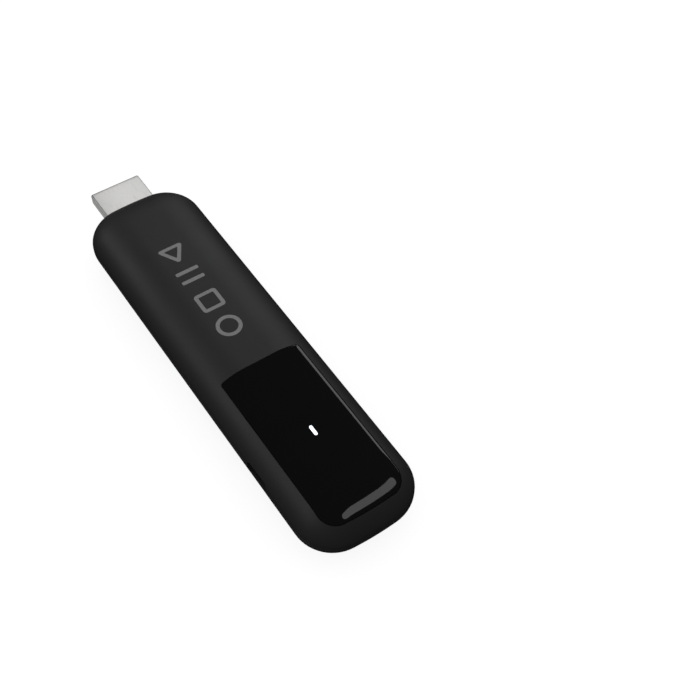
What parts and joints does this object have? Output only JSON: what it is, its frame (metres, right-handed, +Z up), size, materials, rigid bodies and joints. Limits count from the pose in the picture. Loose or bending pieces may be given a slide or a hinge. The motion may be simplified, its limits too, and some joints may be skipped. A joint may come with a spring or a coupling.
{
  "type": "streaming media player stick",
  "caption": "Slim black media stick: matt two-part shell with gloss half-panels front and rear, status light, metal video plug at one end, power socket in one side.",
  "frame": {"origin": "middle of the overall length (plug included) and width, on the surface the stick lies on", "axes": "+Y toward the video plug, +Z up through the front face, the power socket opens toward -X"},
  "size_m": [0.0294, 0.1206, 0.0154],
  "materials": {
    "matt_shell": "fine matt moulded texture, near black",
    "gloss_panel": "piano black gloss",
    "tape": "cream double-sided tape",
    "light_guide": "clear white diffuser",
    "plug_metal": "satin nickel-plated steel",
    "black_resin": "black moulded resin",
    "gold": "gold-plated contact",
    "board": "green solder mask",
    "chip": "black chip package",
    "tinned_steel": "tinned sheet steel",
    "ferrite": "grey ferrite",
    "thermal_pad": "soft blue-grey silicone",
    "aluminium": "plain rolled sheet",
    "screw_steel": "blackened steel"
  },
  "bodies": {
    "root": {"front_shell": "matt_shell", "rear_shell": "matt_shell", "front_gloss_panel": "gloss_panel", "rear_gloss_panel": "gloss_panel", "front_panel_tape": "tape", "rear_panel_tape": "tape", "led_light_guide": "light_guide", "status_led": "light_guide", "video_plug_shell": "plug_metal", "video_plug_insulator": "black_resin", "video_plug_rear_cover": "plug_metal", "video_contact_01": "gold", "video_contact_02": "gold", "video_contact_03": "gold", "video_contact_04": "gold", "video_contact_05": "gold", "video_contact_06": "gold", "video_contact_07": "gold", "video_contact_08": "gold", "video_contact_09": "gold", "video_contact_10": "gold", "video_contact_11": "gold", "video_contact_12": "gold", "video_contact_13": "gold", "video_contact_14": "gold", "video_contact_15": "gold", "video_contact_16": "gold", "video_contact_17": "gold", "video_contact_18": "gold", "video_contact_19": "gold", "power_socket_shell": "plug_metal", "power_socket_tongue": "black_resin", "power_contact_1": "gold", "power_contact_2": "gold", "power_contact_3": "gold", "power_contact_4": "gold", "power_contact_5": "gold", "main_board": "board", "processor_chip": "chip", "memory_chip": "chip", "storage_chip": "chip", "power_chip": "chip", "wireless_module": "tinned_steel", "clock_crystal": "tinned_steel", "power_inductor_1": "ferrite", "power_inductor_2": "ferrite", "front_shield_can": "tinned_steel", "rear_shield_can": "tinned_steel", "processor_thermal_pad": "thermal_pad", "front_thermal_pad": "thermal_pad", "rear_thermal_pad": "thermal_pad", "front_heat_spreader": "aluminium", "rear_heat_spreader": "aluminium", "wifi_antenna": "gold", "bluetooth_antenna": "gold", "board_screw_1": "screw_steel", "board_screw_2": "screw_steel"}
  },
  "joints": []
}
